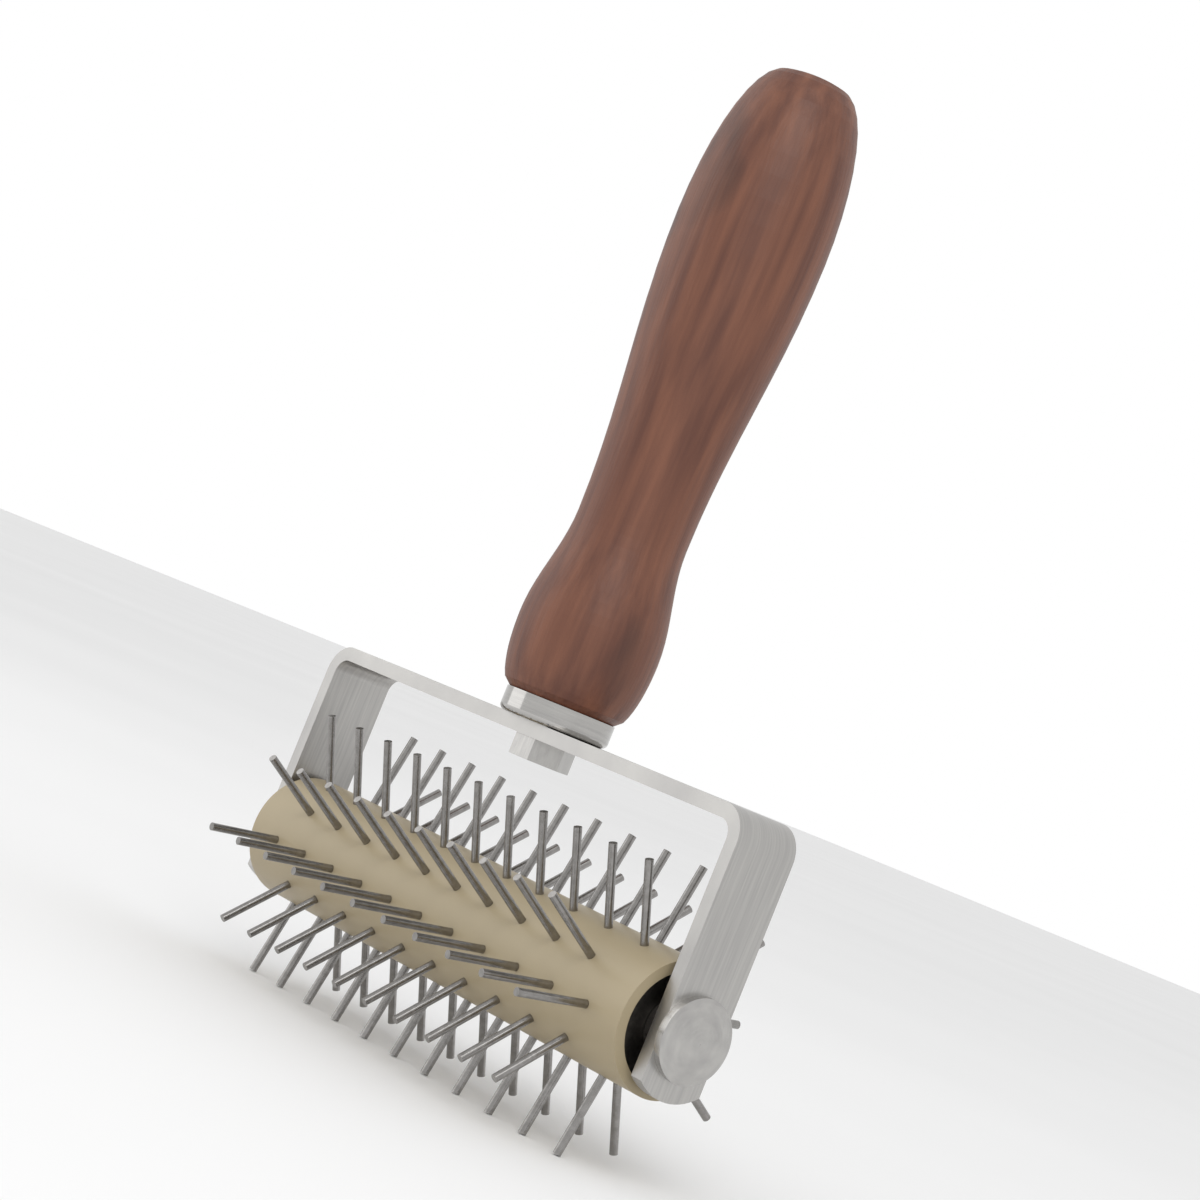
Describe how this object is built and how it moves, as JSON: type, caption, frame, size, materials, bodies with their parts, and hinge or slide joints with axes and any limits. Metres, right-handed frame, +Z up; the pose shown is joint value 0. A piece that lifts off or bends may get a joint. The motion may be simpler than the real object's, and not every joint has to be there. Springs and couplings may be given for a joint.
{
  "type": "dough docker",
  "caption": "Hand roller with rows of straight pins on a plastic barrel, carried in a bent metal yoke under a turned wooden handle.",
  "frame": {"origin": "centre of the bounding box's base, at the lowest pin tips", "axes": "+Z up along the handle, +X along the axle, -Y is the front"},
  "size_m": [0.1324, 0.0534, 0.1909],
  "materials": {
    "handle": "satin",
    "ferrule": "polished",
    "handle_insert": "satin",
    "handle_bolt": "polished",
    "yoke": "satin",
    "axle": "polished",
    "axle_cap": "turned",
    "spacer_washer": "satin",
    "roller_barrel": "semi-matt",
    "end_plate": "dark",
    "bush": "satin",
    "pins": "polished"
  },
  "bodies": {
    "frame": {"handle": "handle", "ferrule": "ferrule", "handle_insert": "handle_insert", "handle_bolt": "handle_bolt", "yoke": "yoke", "axle": "axle", "axle_cap_left": "axle_cap", "axle_cap_right": "axle_cap", "spacer_washer_left": "spacer_washer", "spacer_washer_right": "spacer_washer"},
    "roller": {"roller_barrel": "roller_barrel", "end_plate_left": "end_plate", "end_plate_right": "end_plate", "bush_left": "bush", "bush_right": "bush", "pin_row_01": "pins", "pin_row_02": "pins", "pin_row_03": "pins", "pin_row_04": "pins", "pin_row_05": "pins", "pin_row_06": "pins", "pin_row_07": "pins", "pin_row_08": "pins", "pin_row_09": "pins", "pin_row_10": "pins"}
  },
  "joints": [
    {"name": "roller_spin", "type": "hinge", "parent": "frame", "child": "roller", "pos_m": [0, 0, 0.02637], "axis": [1, 0, 0], "continuous": true}
  ]
}
